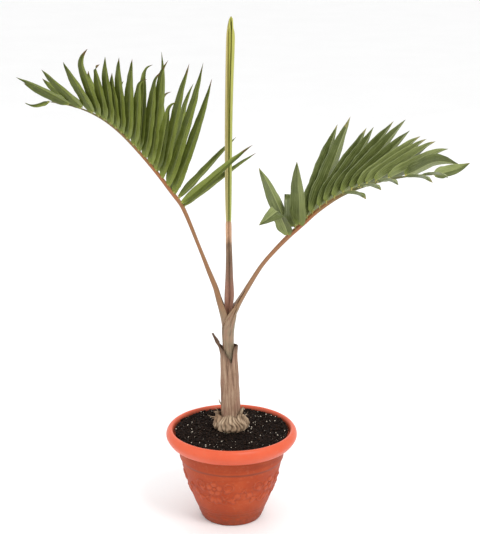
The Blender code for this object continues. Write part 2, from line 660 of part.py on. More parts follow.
def main():
    clear_scene()
    terracotta = material("pot_plastic", (0.62, 0.17, 0.07), 0.45)
    earth = material("potting_soil", (0.020, 0.013, 0.011), 0.95)
    bark = material("stem_bark", (0.40, 0.29, 0.19), 0.80)
    dry_sheath = material("dry_sheath", (0.42, 0.27, 0.20), 0.75)
    stalk_skin = material("stalk_skin", (0.52, 0.20, 0.08), 0.50)
    spear_stalk_skin = material("spear_stalk_skin", (0.33, 0.15, 0.11), 0.55)
    spear_green = material("spear_green", (0.42, 0.43, 0.14), 0.50)
    left_green = material("left_leaflet_green", (0.10, 0.17, 0.03), 0.45)
    right_green = material("right_leaflet_green", (0.14, 0.21, 0.07), 0.45)

    make_pot(terracotta)
    make_soil(earth)
    make_stem(bark)
    make_base_husk(bark)
    make_old_sheath(dry_sheath)

    make_stalk("left_stalk", LEFT_STALK, -RIGHT - 0.25 * UP, 34, stalk_skin, 0.004)
    make_stalk("right_stalk", RIGHT_STALK, RIGHT - 0.25 * UP, 36, stalk_skin, 0.004)
    make_stalk("spear_stalk", SPEAR_STALK, -TOWARDS_VIEWER, 9, spear_stalk_skin, 0.0012)
    make_stalk("spear_blade", SPEAR_BLADE, -TOWARDS_VIEWER, 16, spear_green, 0.008)

    rows = (
        ("left_near_leaflet", LEFT_NEAR, LEFT_STALK, LEFT_BLADE_FROM, TOWARDS_VIEWER, left_green),
        ("left_far_leaflet", LEFT_FAR, LEFT_STALK, LEFT_BLADE_FROM, -TOWARDS_VIEWER, left_green),
        ("right_near_leaflet", RIGHT_NEAR, RIGHT_STALK, RIGHT_BLADE_FROM, TOWARDS_VIEWER, right_green),
        ("right_far_leaflet", RIGHT_FAR, RIGHT_STALK, RIGHT_BLADE_FROM, -TOWARDS_VIEWER, right_green),
    )
    for prefix, leaflets, stations, blade_from, side, surface in rows:
        make_leaflets(prefix, leaflets, stations, blade_from, side, surface)


main()
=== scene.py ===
"""Looks of the potted palm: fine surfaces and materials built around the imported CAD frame."""

import math

import bmesh
import bpy
import numpy as np
from mathutils import Matrix, Vector, noise
from mathutils.bvhtree import BVHTree


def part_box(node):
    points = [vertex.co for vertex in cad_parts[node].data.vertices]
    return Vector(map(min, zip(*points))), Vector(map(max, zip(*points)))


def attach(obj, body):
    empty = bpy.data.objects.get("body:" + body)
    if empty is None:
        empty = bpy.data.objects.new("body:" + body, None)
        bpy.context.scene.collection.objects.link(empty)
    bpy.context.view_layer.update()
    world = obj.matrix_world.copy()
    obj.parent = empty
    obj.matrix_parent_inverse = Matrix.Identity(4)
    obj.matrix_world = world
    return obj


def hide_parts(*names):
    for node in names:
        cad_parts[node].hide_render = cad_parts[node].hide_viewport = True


UP = Vector((0, 0, 1))
WELD = 5  # decimals of a metre to which the frame's split vertices are matched

# Leaflets
ALONG = 44  # steps along a leaflet
ACROSS = 14  # steps across it, both halves together
BLADE_THICKNESS = 0.00045
VEINS_PER_HALF = 3.5
VEIN_HEIGHT = 0.00028
MIDRIB_HEIGHT = 0.0006
LEFT_FULLNESS = 1.22  # width of the looks' blade against the frame's
RIGHT_FULLNESS = 1.62
FOOT_FULLNESS = 0.9  # extra width close to the foot

# Pot
POT_SIDES = 380
POT_STEP = 0.0014  # length of a step along the pot's outline
RELIEF_FOOT_Z = 0.046
RELIEF_TOP_Z = 0.113
FLOWER_Y = 0.007  # height of a rosette's centre above the band's middle
RELIEF_HEIGHT = 0.0024
GARLANDS = 5  # repeats of the pattern round the pot
RELIEF_SCALE = 1.3
RELIEF_TURN = 0.04  # place of a rosette round the pot, in repeats
LEDGE_SHADE_HEIGHTS = (0.1205, 0.1480)  # heights under the collar and the rim where painted shade darkens the pot
DRAIN_RADIUS = 0.006
DRAIN_CIRCLE = 0.036
DRAIN_COUNT = 5

# Sheaths
HUSK_PLEATS = 24
HUSK_PLEAT_DEPTH = 0.0034
HUSK_TUCK = 0.0030  # how far the husk's top edge is pulled in against the sheath
STUB_SWELL = 0.0023  # half of what the dry stalk stub is thicker than the sheath

# Soil
CRUMBS = 5200
PERLITE_GRAINS = 330

rng = np.random.default_rng(7)


# ---------------------------------------------------------------- meshes


def new_piece(name, points, faces, surface, smooth_angle=60):
    """A mesh object with its material, smooth but for edges sharper than smooth_angle degrees."""
    mesh = bpy.data.meshes.new(name)
    mesh.from_pydata([tuple(p) for p in points], [], faces)
    mesh.materials.append(surface)
    mesh.shade_smooth()
    mesh.set_sharp_from_angle(angle=math.radians(smooth_angle))
    piece = bpy.data.objects.new(name, mesh)
    bpy.context.scene.collection.objects.link(piece)
    return piece


def add_values(piece, name, values):
    """Stores one number for each vertex of the piece, for its material to read."""
    layer = piece.data.attributes.new(name, "FLOAT", "POINT")
    layer.data.foreach_set("value", np.asarray(values, np.float32))


def stand_for(piece, node):
    """Shows the piece in place of the frame's node, under the record's slot."""
    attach(piece, "root")
    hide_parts(node)


def grid_faces(rows, columns, start=0):
    """Quads of a grid of vertices that is closed round its columns."""
    faces = []
    for r in range(rows - 1):
        for c in range(columns):
            d = (c + 1) % columns
            low, high = start + r * columns, start + (r + 1) * columns
            faces.append((low + c, low + d, high + d, high + c))
    return faces


def wobble(point, scale, seed=0.0):
    """Smooth noise between about -1 and 1; scale is the size of its bumps in metres."""
    return noise.noise(Vector(point) / scale + Vector((seed, seed * 1.7, -seed)))


def spline(samples, count):
    """count rows along a Catmull-Rom curve through the sample rows, of any shape."""
    samples = np.asarray(samples, float)
    padded = np.concatenate([
        [2 * samples[0] - samples[1]], samples, [2 * samples[-1] - samples[-2]],
    ])
    where = np.linspace(0, len(samples) - 1, count)
    rows = []
    for w in where:
        k = min(int(w), len(samples) - 2)
        t = w - k
        a, b, c, d = padded[k:k + 4]
        rows.append(
            0.5 * (2 * b + (c - a) * t + (2 * a - 5 * b + 4 * c - d) * t**2
                   + (3 * b - a - 3 * c + d) * t**3)
        )
    return np.array(rows)


def smooth(low, high, value):
    """Rises evenly from 0 at low to 1 at high, with level ends."""
    share = np.clip((value - low) / (high - low), 0, 1)
    return share * share * (3 - 2 * share)


# ---------------------------------------------------------------- the frame's own shapes


def welded(node):
    """A node's distinct vertices, and for each the set of those it shares an edge with."""
    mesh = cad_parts[node].data
    numbers, places, of_vertex = {}, [], []
    for v in mesh.vertices:
        key = tuple(round(c, WELD) for c in v.co)
        if key not in numbers:
            numbers[key] = len(places)
            places.append(np.array(v.co))
        of_vertex.append(numbers[key])
    near = [set() for _ in places]
    for e in mesh.edges:
        a, b = (of_vertex[i] for i in e.vertices)
        if a != b:
            near[a].add(b)
            near[b].add(a)
    return np.array(places), near


def rings_of(node, size):
    """(rings from foot to tip, tip) of a lofted node whose rings all have size vertices."""
    places, near = welded(node)
    for start in range(len(places)):
        if len(near[start]) != size:
            continue
        seen, levels = {start}, [[start]]
        while len(seen) < len(places):
            step = sorted(set().union(*(near[i] for i in levels[-1])) - seen)
            if len(step) != size:
                break
            seen.update(step)
            levels.append(step)
        if len(seen) == len(places):
            rings = [places[level] for level in levels[1:]]
            return rings[::-1], places[start]
    raise ValueError(f"{node} has no rings of {size}")


def leaflet_lines(node):
    """A leaflet's midrib, its two edges and its upward direction, one row for each ring."""
    rings, tip = rings_of(node, 4)
    middles, firsts, seconds, ups = [], [], [], []
    for ring in rings:
        pairs = [(0, 1), (0, 2), (0, 3), (1, 2), (1, 3), (2, 3)]
        ribs = min(pairs, key=lambda p: np.linalg.norm(ring[p[0]] - ring[p[1]]))
        edges = [i for i in range(4) if i not in ribs]
        middle = (ring[ribs[0]] + ring[ribs[1]]) / 2
        one, two = ring[edges[0]], ring[edges[1]]
        if firsts and np.linalg.norm(one - firsts[-1]) > np.linalg.norm(two - firsts[-1]):
            one, two = two, one
        up = middle - (one + two) / 2
        middles.append(middle)
        firsts.append(one)
        seconds.append(two)
        ups.append(up)
    middles.append(tip)
    firsts.append(tip)
    seconds.append(tip)
    ups.append(ups[-1])
    return middles, firsts, seconds, ups


def outline_of(node):
    """(radius, z) points of a turned node's outline, from its outer foot up and over its inside."""
    places, near = welded(node)
    on_seam = [i for i, p in enumerate(places) if abs(p[1]) < 1e-5 and p[0] > 0.045]
    here = max((i for i in on_seam if places[i][2] < 1e-4), key=lambda i: places[i][0])
    chain = [here]
    while True:
        ways = [i for i in near[here] if i in on_seam and i not in chain]
        if not ways:
            return [(places[i][0], places[i][2]) for i in chain]
        here = max(ways, key=lambda i: places[i][2]) if len(chain) == 1 else min(
            ways, key=lambda i: np.linalg.norm(places[i] - places[here])
        )
        chain.append(here)


def columns_of(node, sides, rows):
    """Points [skin][row][side] of a torn tube round the stem: the outer skin, then the inner."""
    places, _ = welded(node)
    axis = stem_axis(places[:, 2])
    away = places - axis
    angle = np.arctan2(away[:, 1], away[:, 0]) % (2 * math.pi)
    side = np.round(angle / (2 * math.pi) * sides).astype(int) % sides
    radius = np.hypot(away[:, 0], away[:, 1])
    skins = np.zeros((2, rows, sides, 3))
    for s in range(sides):
        mine = np.where(side == s)[0]
        mine = mine[np.argsort(places[mine, 2], kind="stable")]
        for r in range(rows):
            pair = mine[2 * r:2 * r + 2]
            pair = pair[np.argsort(-radius[pair])]
            skins[0, r, s], skins[1, r, s] = places[pair[0]], places[pair[1]]
    return skins


def stem_axis(z):
    """Centre of the stem at each height, from the middles of the stem node's top and foot."""
    low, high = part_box("stem")
    places, _ = welded("stem")
    top = places[places[:, 2] > high.z - 0.0005].mean(0)
    foot = places[places[:, 2] < low.z + 0.0005].mean(0)
    share = np.clip((np.asarray(z) - 0.170) / 0.175, 0, None)
    rise = (top[0] - foot[0]) * 0.175 / (high.z - 0.170)
    return np.stack([foot[0] + rise * share, np.full_like(share, foot[1]), np.asarray(z)], -1)


# ---------------------------------------------------------------- material nodes


class Graph:
    """Short calls for building one material's nodes."""

    def __init__(self, name):
        self.material = bpy.data.materials.new(name)
        self.material.use_nodes = True
        self.nodes = self.material.node_tree.nodes
        self.links = self.material.node_tree.links
        self.shader = self.nodes["Principled BSDF"]
        self.place = self.nodes.new("ShaderNodeTexCoord").outputs["Object"]

    def set(self, socket, value):
        if isinstance(value, bpy.types.NodeSocket):
            self.links.new(value, socket)
        elif value is not None:
            socket.default_value = value

    def noise(self, scale, detail=4.0, stretch=(1, 1, 1), roughness=0.55, source=None):
        mapping = self.nodes.new("ShaderNodeMapping")
        mapping.inputs["Scale"].default_value = stretch
        self.links.new(source or self.place, mapping.inputs["Vector"])
        made = self.nodes.new("ShaderNodeTexNoise")
        made.inputs["Scale"].default_value = scale
        made.inputs["Detail"].default_value = detail
        made.inputs["Roughness"].default_value = roughness
        self.links.new(mapping.outputs["Vector"], made.inputs["Vector"])
        return made.outputs["Fac"]

    def along_fibres(self):
        """Coordinates that make noise run in long streaks: round the piece finely, along it slowly."""
        made = self.nodes.new("ShaderNodeCombineXYZ")
        self.set(made.inputs[0], self.math("MULTIPLY", self.attribute("around"), 6.0))
        self.set(made.inputs[1], self.math("MULTIPLY", self.attribute("length"), 3.0))
        return made.outputs[0]

    def attribute(self, name):
        made = self.nodes.new("ShaderNodeAttribute")
        made.attribute_name = name
        return made.outputs["Fac"]

    def height(self):
        made = self.nodes.new("ShaderNodeSeparateXYZ")
        self.links.new(self.place, made.inputs[0])
        return made.outputs["Z"]

    def math(self, operation, a, b=None):
        made = self.nodes.new("ShaderNodeMath")
        made.operation = operation
        self.set(made.inputs[0], a)
        self.set(made.inputs[1], b)
        return made.outputs[0]

    def between(self, value, low, high, to_low=0.0, to_high=1.0):
        made = self.nodes.new("ShaderNodeMapRange")
        made.interpolation_type = "SMOOTHSTEP"
        self.set(made.inputs["Value"], value)
        made.inputs["From Min"].default_value = low
        made.inputs["From Max"].default_value = high
        made.inputs["To Min"].default_value = to_low
        made.inputs["To Max"].default_value = to_high
        return made.outputs["Result"]

    def mix(self, share, a, b, blend="MIX"):
        made = self.nodes.new("ShaderNodeMix")
        made.data_type = "RGBA"
        made.blend_type = blend
        self.set(made.inputs[0], share)
        for socket, value in ((made.inputs[6], a), (made.inputs[7], b)):
            self.set(socket, (*value, 1) if isinstance(value, tuple) else value)
        return made.outputs[2]

    def ramp(self, value, stops):
        made = self.nodes.new("ShaderNodeValToRGB")
        bands = made.color_ramp.elements
        while len(bands) < len(stops):
            bands.new(0.5)
        for band, (place, colour) in zip(bands, stops):
            band.position = place
            band.color = (*colour, 1)
        self.set(made.inputs["Fac"], value)
        return made.outputs["Color"]

    def bump(self, height, distance, strength=1.0):
        made = self.nodes.new("ShaderNodeBump")
        made.inputs["Distance"].default_value = distance
        made.inputs["Strength"].default_value = strength
        self.set(made.inputs["Height"], height)
        self.set(self.shader.inputs["Normal"], made.outputs["Normal"])

    def finish(self, colour, roughness, specular=0.4):
        self.set(self.shader.inputs["Base Color"], colour)
        self.set(self.shader.inputs["Roughness"], roughness)
        self.shader.inputs["Specular IOR Level"].default_value = specular
        return self.material


def leaf_material(name, dark, light, stripe, dry, rough):
    """Leaf green: lighter veins, painted light on one half of the fold and painted shade on the other, dry
    tips, and a pale foot.
    """
    g = Graph(name)
    across, along = g.attribute("across"), g.attribute("along")
    tone, dryness = g.attribute("tone"), g.attribute("dryness")
    patch = g.noise(60, 5)
    body = g.mix(g.between(patch, 0.3, 0.7), dark, light)
    body = g.mix(g.math("MULTIPLY", tone, 0.55), body, light)
    wave = g.math("SINE", g.math("MULTIPLY", across, 62.0))
    veins = g.between(wave, 0.2, 1.0)
    body = g.mix(g.math("MULTIPLY", veins, 0.38), body, stripe)
    # painted light on one half of the folded blade and painted shade on the other
    half = g.between(across, 0.47, 0.53, 0.0, 0.30)
    body = g.mix(half, body, stripe)
    body = g.mix(g.between(across, 0.47, 0.53, 0.50, 0.0), body, tuple(c * 0.45 for c in dark))
    lines = g.nodes.new("ShaderNodeCombineXYZ")
    shifted = g.math("ADD", g.math("MULTIPLY", across, 20.0), g.math("MULTIPLY", tone, 90.0))
    g.set(lines.inputs[0], shifted)
    g.set(lines.inputs[1], g.math("MULTIPLY", along, 3.0))
    streak = g.noise(1.0, 4, source=lines.outputs[0], roughness=0.65)
    body = g.mix(g.between(streak, 0.52, 0.68, 0.0, 0.55), body, tuple(c * 0.55 for c in dark))
    body = g.mix(g.between(streak, 0.30, 0.46, 0.60, 0.0), body, stripe)
    rib = g.between(g.math("ABSOLUTE", g.math("SUBTRACT", across, 0.5)), 0.018, 0.035, 0.75, 0.0)
    body = g.mix(rib, body, stripe)
    body = g.mix(g.between(along, 0.0, 0.10, 0.6, 0.0), body, tuple(c * 1.5 for c in light))
    spots = g.between(g.noise(420, 3), 0.62, 0.74, 0.0, 0.35)
    body = g.mix(spots, body, dry)
    reach = g.math("ADD", along, g.between(g.noise(110, 4), 0.3, 0.7, -0.05, 0.05))
    far = g.between(g.math("SUBTRACT", reach, g.math("SUBTRACT", 1.0, dryness)), -0.02, 0.05)
    body = g.mix(far, body, dry)
    g.bump(g.math("ADD", g.math("MULTIPLY", wave, 0.4), g.noise(500, 4)), 0.00012, 0.6)
    sheen = g.between(patch, 0.3, 0.7, rough - 0.06, rough + 0.08)
    return g.finish(body, sheen, 0.32)


def stalk_material(name, stops, low, high, axis, speck, crowned=False, halves=None):
    """Skin whose colour runs along one axis, from low to high metres, with fine fibres.

    A crowned stalk's wide foot is greyish tan, and halves gives a tint to each side of the middle."""
    g = Graph(name)
    split = g.nodes.new("ShaderNodeSeparateXYZ")
    g.links.new(g.place, split.inputs[0])
    wander = g.between(g.noise(35, 3), 0.3, 0.7, -0.012, 0.012)
    run = g.between(g.math("ADD", split.outputs[axis], wander), low, high)
    body = g.ramp(run, stops)
    fibre = g.between(g.noise(9, 5, source=g.along_fibres(), roughness=0.7), 0.35, 0.7)
    body = g.mix(g.math("MULTIPLY", fibre, 0.45), body, tuple(c * 0.45 for c in stops[0][1]))
    pale = g.between(g.noise(14, 4, source=g.along_fibres()), 0.55, 0.75, 0.0, 0.18)
    body = g.mix(pale, body, (0.46, 0.32, 0.17))
    if crowned:
        crown = g.mix(g.between(g.noise(26, 4), 0.40, 0.62), (0.30, 0.200, 0.125), (0.21, 0.175, 0.105))
        pink = g.between(g.noise(6, 3, source=g.along_fibres()), 0.50, 0.66, 0.0, 0.65)
        crown = g.mix(pink, crown, (0.36, 0.165, 0.115))
        dim = g.between(g.noise(11, 4, source=g.along_fibres()), 0.52, 0.66, 0.0, 0.55)
        crown = g.mix(dim, crown, (0.115, 0.075, 0.045))
        body = g.mix(g.between(g.height(), 0.385, 0.440), crown, body)
    if halves:
        left, right, groove = halves
        x = split.outputs["X"]
        body = g.mix(g.between(x, -0.0066, -0.0058, 0.55, 0.0), body, left)
        body = g.mix(g.between(x, -0.0036, -0.0028, 0.0, 0.55), body, right)
        away = g.math("ABSOLUTE", g.math("SUBTRACT", x, -0.0047))
        body = g.mix(g.between(away, 0.0003, 0.0010, 0.8, 0.0), body, groove)
    specks = g.between(g.noise(700, 2), 0.60, 0.70, 0.0, 0.5)
    body = g.mix(specks, body, speck)
    g.bump(fibre, 0.00018, 0.7)
    return g.finish(body, g.between(fibre, 0.0, 1.0, 0.38, 0.55), 0.4)


def dry_fibre_material(name, dark, mid, light, blotch, grain=11):
    """Dead leaf base: streaks of three tones along the fibres, darker blotches, a darker top edge and
    painted shade in the pleat valleys.
    """
    g = Graph(name)
    streak = g.noise(grain, 6, source=g.along_fibres(), roughness=0.72)
    body = g.ramp(streak, [(0.34, dark), (0.48, mid), (0.62, light)])
    patch = g.between(g.noise(38, 5), 0.46, 0.66)
    body = g.mix(g.math("MULTIPLY", patch, 0.55), body, blotch)
    # edge: darker frayed top edge, and painted shade in the pleat valleys
    edge = g.attribute("edge")
    body = g.mix(g.math("MULTIPLY", edge, 0.75), body, tuple(c * 0.5 for c in dark))
    thin = g.between(g.noise(34, 3, source=g.along_fibres()), 0.60, 0.70, 0.0, 0.7)
    body = g.mix(thin, body, tuple(c * 0.55 for c in dark))
    g.bump(g.math("ADD", streak, g.math("MULTIPLY", g.noise(300, 4), 0.3)), 0.0006, 0.8)
    return g.finish(body, g.between(streak, 0.3, 0.7, 0.85, 0.62), 0.25)


def pot_material():
    """Painted terracotta plastic: a brighter, glossier rim and a dusty, mottled body, with painted shade
    under the collar, under the rim and round the garland's figures, and a painted highlight on the garland's
    raised parts.
    """
    g = Graph("pot_plastic_look")
    z = g.height()
    broad = g.noise(16, 5)
    fine = g.noise(150, 6, roughness=0.7)
    clay = [(0.32, (0.33, 0.036, 0.004)), (0.55, (0.39, 0.050, 0.007)), (0.75, (0.45, 0.074, 0.018))]
    body = g.ramp(broad, clay)
    rim = g.ramp(broad, [(0.3, (0.62, 0.088, 0.033)), (0.7, (0.69, 0.112, 0.046))])
    bands = g.between(g.noise(1.0, 4, stretch=(9, 9, 190)), 0.50, 0.68, 0.0, 0.45)
    body = g.mix(bands, body, (0.28, 0.032, 0.005))
    body = g.mix(g.between(z, 0.1455, 0.1505), body, rim)
    relief = g.attribute("relief")
    # painted shade in the hollows right round the garland's figures
    relief_shade = g.between(relief, 0.0, 0.06, 0.0, 1.0)
    relief_shade = g.math("MULTIPLY", relief_shade, g.between(relief, 0.10, 0.50, 0.75, 0.0))
    body = g.mix(g.math("MULTIPLY", relief_shade, g.attribute("figured")), body, (0.30, 0.050, 0.018))
    # painted highlight on the garland's raised parts
    body = g.mix(g.between(relief, 0.35, 0.9, 0.0, 0.32), body, (0.60, 0.130, 0.050))
    dust = g.between(fine, 0.50, 0.72, 0.0, 0.22)
    body = g.mix(dust, body, (0.52, 0.20, 0.11))
    low = g.between(z, 0.0, 0.060, 0.75, 0.0)
    body = g.mix(g.math("MULTIPLY", low, g.between(fine, 0.25, 0.6)), body, (0.17, 0.036, 0.014))
    # painted shade under the collar and under the rim
    body = g.mix(g.math("MULTIPLY", g.attribute("ledge_shade_mask"), 0.62), body, (0.13, 0.028, 0.012))
    body = g.mix(g.attribute("inside"), body, (0.13, 0.036, 0.020))
    turned = g.noise(1.0, 3, stretch=(20, 20, 1400))
    g.bump(g.math("ADD", g.math("MULTIPLY", turned, 0.4), fine), 0.00022, 0.55)
    shine = g.between(z, 0.145, 0.152, 0.50, 0.34)
    return g.finish(body, g.math("ADD", shine, g.between(fine, 0.3, 0.7, -0.04, 0.10)), 0.28)


def soil_material(name, dark, light, warm):
    """Crumbly earth in three tones."""
    g = Graph(name)
    grain = g.noise(260, 6, roughness=0.7)
    body = g.ramp(grain, [(0.34, dark), (0.55, light), (0.70, warm)])
    g.bump(g.noise(620, 5), 0.0008, 0.9)
    return g.finish(body, 0.85, 0.12)


def perlite_material():
    g = Graph("perlite_look")
    grain = g.noise(900, 4)
    body = g.ramp(grain, [(0.3, (0.42, 0.33, 0.24)), (0.6, (0.80, 0.72, 0.60))])
    g.bump(grain, 0.0005, 0.8)
    return g.finish(body, 0.8, 0.3)


def floor_material():
    g = Graph("floor_look")
    body = g.ramp(g.noise(3, 3), [(0.3, (0.94, 0.94, 0.94)), (0.7, (0.96, 0.96, 0.96))])
    g.bump(g.noise(260, 3), 0.0002, 0.15)
    return g.finish(body, 0.65, 0.2)


# ---------------------------------------------------------------- leaflets


def make_leaflet(node, surface, number, fullness):
    """A thin closed blade on the node's own lines, with veins, waving edges and a ragged tip."""
    middles, firsts, seconds, ups = (spline(line, ALONG + 1) for line in leaflet_lines(node))
    along = np.linspace(0, 1, ALONG + 1)
    length = np.linalg.norm(np.diff(middles, axis=0), axis=1).sum()
    seed = number * 3.7
    chance = rng.random(5)
    forward = np.gradient(middles, axis=0)
    forward /= np.linalg.norm(forward, axis=1)[:, None] + 1e-12
    points, across_at, along_at = [], [], []
    for side in (1, -1):
        for i, t in enumerate(along):
            first, second = firsts[i] - middles[i], seconds[i] - middles[i]
            up = np.cross(first - second, forward[i])
            up /= np.linalg.norm(up) + 1e-12
            if np.dot(up, ups[i]) < 0:
                up = -up
            thin = min(1.0, (1.0 - t) * 12, 0.25 + t * 20)
            full = fullness * (1 + FOOT_FULLNESS * math.exp(-((t / 0.16) ** 2)))
            for j in range(ACROSS + 1):
                s = 2 * j / ACROSS - 1
                arm = (first if s < 0 else second) * abs(s) * full
                ripple = 0.0016 * wobble((t * length, s * 0.02, 0), 0.022, seed) * abs(s) ** 1.5
                trim = 1 - 0.05 * (1 + wobble((t * length, s, 5), 0.009, seed)) * (abs(s) > 0.9)
                vein = VEIN_HEIGHT * math.cos(2 * math.pi * VEINS_PER_HALF * abs(s))
                rib = MIDRIB_HEIGHT * max(0.0, 1 - abs(s) * 7)
                arch = 0.10 * np.linalg.norm(arm) * (1 - abs(s))
                lift = (vein * (1 - abs(s) ** 4) + rib + arch + ripple) * thin
                skin = side * BLADE_THICKNESS / 2 * thin * (1 if abs(s) < 0.999 else 0.3)
                points.append(middles[i] + arm * trim + up * (lift + skin))
                across_at.append((s + 1) / 2)
                along_at.append(t)
    faces = leaflet_faces()
    piece = new_piece(f"{node}_blade", points, faces, surface, 70)
    add_values(piece, "across", across_at)
    add_values(piece, "along", along_at)
    add_values(piece, "tone", np.full(len(points), chance[0]))
    add_values(piece, "dryness", np.full(len(points), 0.03 + 0.09 * chance[1] ** 2))
    stand_for(piece, node)
    return piece


def leaflet_faces():
    """Faces of the two skins and of the rim that joins them."""
    wide, high = ACROSS + 1, ALONG + 1
    under = wide * high
    faces = []
    for i in range(ALONG):
        for j in range(ACROSS):
            a, b, c, d = i * wide + j, i * wide + j + 1, (i + 1) * wide + j + 1, (i + 1) * wide + j
            faces.append((a, b, c, d))
            faces.append((d + under, c + under, b + under, a + under))
    rim = list(range(wide))
    rim += [i * wide + ACROSS for i in range(1, high)]
    rim += [ALONG * wide + j for j in range(ACROSS - 1, -1, -1)]
    rim += [i * wide for i in range(ALONG - 1, 0, -1)]
    for a, b in zip(rim, rim[1:] + rim[:1]):
        faces.append((b, a, a + under, b + under))
    return faces


def pulvinus(node, stalk_lines):
    """Points and faces of the small yellow swelling that joins a leaflet's foot to its stalk."""
    rings, _ = rings_of(node, 4)
    foot, after = rings[0].mean(0), rings[1].mean(0)
    inward = foot - after
    inward /= np.linalg.norm(inward)
    nearest = stalk_lines[np.argmin(np.linalg.norm(stalk_lines - foot, axis=1))]
    start, end = foot - inward * 0.0035, nearest
    points, sides, steps = [], 10, 7
    line = end - start
    side = np.cross(line, [0.3, 0.2, 1.0])
    side /= np.linalg.norm(side)
    other = np.cross(line, side)
    other /= np.linalg.norm(other)
    for i in range(steps):
        t = i / (steps - 1)
        radius = 0.0011 + 0.0007 * math.sin(math.pi * t) + 0.0004 * t
        for k in range(sides):
            a = 2 * math.pi * k / sides
            points.append(start + line * t + (side * math.cos(a) + other * math.sin(a)) * radius)
    faces = grid_faces(steps, sides)
    faces += [tuple(range(sides))[::-1], tuple(range((steps - 1) * sides, steps * sides))]
    return points, faces


def merged(parts):
    """One list of points and one of faces from several."""
    points, faces = [], []
    for some, theirs in parts:
        start = len(points)
        points.extend(some)
        faces.extend(tuple(start + i for i in f) for f in theirs)
    return points, faces


# ---------------------------------------------------------------- stalks


def ordered_ring(ring, previous):
    """The ring's vertices in the order of the previous ring's, by nearness after centring."""
    a = ring - ring.mean(0)
    b = previous - previous.mean(0)
    order, free = [], set(range(len(ring)))
    for p in b:
        k = min(free, key=lambda i: np.linalg.norm(a[i] - p))
        order.append(k)
        free.remove(k)
    return ring[order]





def make_stalk(node, surface, size, count, ridge, seed):
    """The node's loft again, with finer rings and low ridges along it."""
    rings, tip = section_loops(node, size)
    rows = spline(rings + [np.repeat([tip], size, 0)], count)
    rows = np.array([spline(np.concatenate([row, row[:1]]), size * 3 + 1)[:-1] for row in rows])
    centre = rows.mean(1)
    reach = np.concatenate([[0], np.cumsum(np.linalg.norm(np.diff(centre, axis=0), axis=1))])
    sides = rows.shape[1]
    points, around, length = [], [], []
    for i, row in enumerate(rows):
        for k in range(sides):
            outward = row[k] - centre[i]
            size_here = np.linalg.norm(outward)
            outward = outward / (size_here + 1e-12)
            groove = wobble((k / sides * 0.11, reach[i] * 0.04, 0), 0.0045, seed)
            fade = min(1.0, size_here / 0.004)
            points.append(row[k] + outward * ridge * fade * groove)
            around.append(k / sides)
            length.append(reach[i])
    faces = grid_faces(len(rows), sides)
    faces += [tuple(range(sides))[::-1], tuple(range((len(rows) - 1) * sides, len(rows) * sides))]
    piece = new_piece(f"{node}_skin", points, faces, surface, 55)
    add_values(piece, "around", around)
    add_values(piece, "length", length)
    add_values(piece, "edge", np.zeros(len(points)))
    stand_for(piece, node)
    return centre


def section_loops(node, size):
    """(rings in order round the section, tip) of a stalk."""
    places, near = welded(node)
    rings, tip = rings_of(node, size)
    numbers = {tuple(np.round(p, WELD)): i for i, p in enumerate(places)}
    last = [numbers[tuple(np.round(p, WELD))] for p in rings[-1]]
    inside = set(last)
    loop = [last[0]]
    while len(loop) < size:
        ways = [j for j in near[loop[-1]] if j in inside and j not in loop]
        loop.append(min(ways, key=lambda j: np.linalg.norm(places[j] - places[loop[-1]])))
    ordered = [places[loop]]
    for ring in rings[-2::-1]:
        ordered.append(ordered_ring(ring, ordered[-1]))
    return ordered[::-1], tip


# ---------------------------------------------------------------- sheaths


def make_torn_tube(
    node, surface, sides, rows, fine_sides, fine_rows, ridge, fray, seed, pleats=0, depth=0.0
):
    """A sheath's two skins, finer, with fibre ridges, pleats and a frayed top edge."""
    skins = columns_of(node, sides, rows)
    points, around, length, edge = [], [], [], []
    for s, skin in enumerate(skins):
        closed = np.concatenate([skin, skin[:, :1]], 1)
        fine = spline(closed, fine_rows)
        fine = np.array([spline(row, fine_sides + 1)[:-1] for row in fine])
        axis = stem_axis(fine[..., 2].ravel()).reshape(fine.shape)
        outward = fine - axis
        outward /= np.linalg.norm(outward, axis=2)[..., None] + 1e-12
        for r in range(fine_rows):
            share = r / (fine_rows - 1)
            for k in range(fine_sides):
                turn = 2 * math.pi * k / fine_sides
                grain_place = (math.cos(turn) * 0.06, math.sin(turn) * 0.06, fine[r, k, 2] * 0.06)
                streak = wobble(grain_place, 0.004, seed)
                broad = wobble(fine[r, k], 0.017, seed)
                place = fine[r, k] + outward[r, k] * (ridge * streak + ridge * 1.2 * broad)
                torn = wobble((math.cos(turn) * 0.05, math.sin(turn) * 0.05, 0), 0.0035, seed + 9)
                place[2] -= fray * (0.5 + 0.5 * torn) * share**8
                spot = (math.cos(turn) * 0.03, math.sin(turn) * 0.03, place[2])
                bent = 2.3 * wobble(spot, 0.013, seed) + 1.4 * share
                fold = abs(math.sin(pleats / 2 * turn + bent)) if pleats else 1.0
                place += outward[r, k] * depth * (fold - 0.5) * (1 - share**3)
                if pleats:
                    place -= outward[r, k] * HUSK_TUCK * smooth(0.55, 0.95, share) * (place[2] < 0.2115)
                stub = smooth(0.340, 0.350, place[2]) * (1 - 0.75 * smooth(0.350, 0.372, place[2]))
                place += outward[r, k] * STUB_SWELL * stub * (1 if s == 0 else -1)
                points.append(place)
                around.append(k / fine_sides)
                length.append(fine[r, k, 2])
                # edge: the frayed top rows, and the pleat valleys that get painted shade
                edge.append(max(share**14, 0.95 * (1 - fold) ** 1.3))
    skin_size = fine_rows * fine_sides
    faces = grid_faces(fine_rows, fine_sides)
    faces += [f[::-1] for f in grid_faces(fine_rows, fine_sides, skin_size)]
    for k in range(fine_sides):
        j = (k + 1) % fine_sides
        top = (fine_rows - 1) * fine_sides
        faces.append((top + k, top + j, skin_size + top + j, skin_size + top + k))
        faces.append((j, k, skin_size + k, skin_size + j))
    piece = new_piece(f"{node}_fibres", points, faces, surface, 50)
    add_values(piece, "around", around)
    add_values(piece, "length", length)
    add_values(piece, "edge", edge)
    stand_for(piece, node)


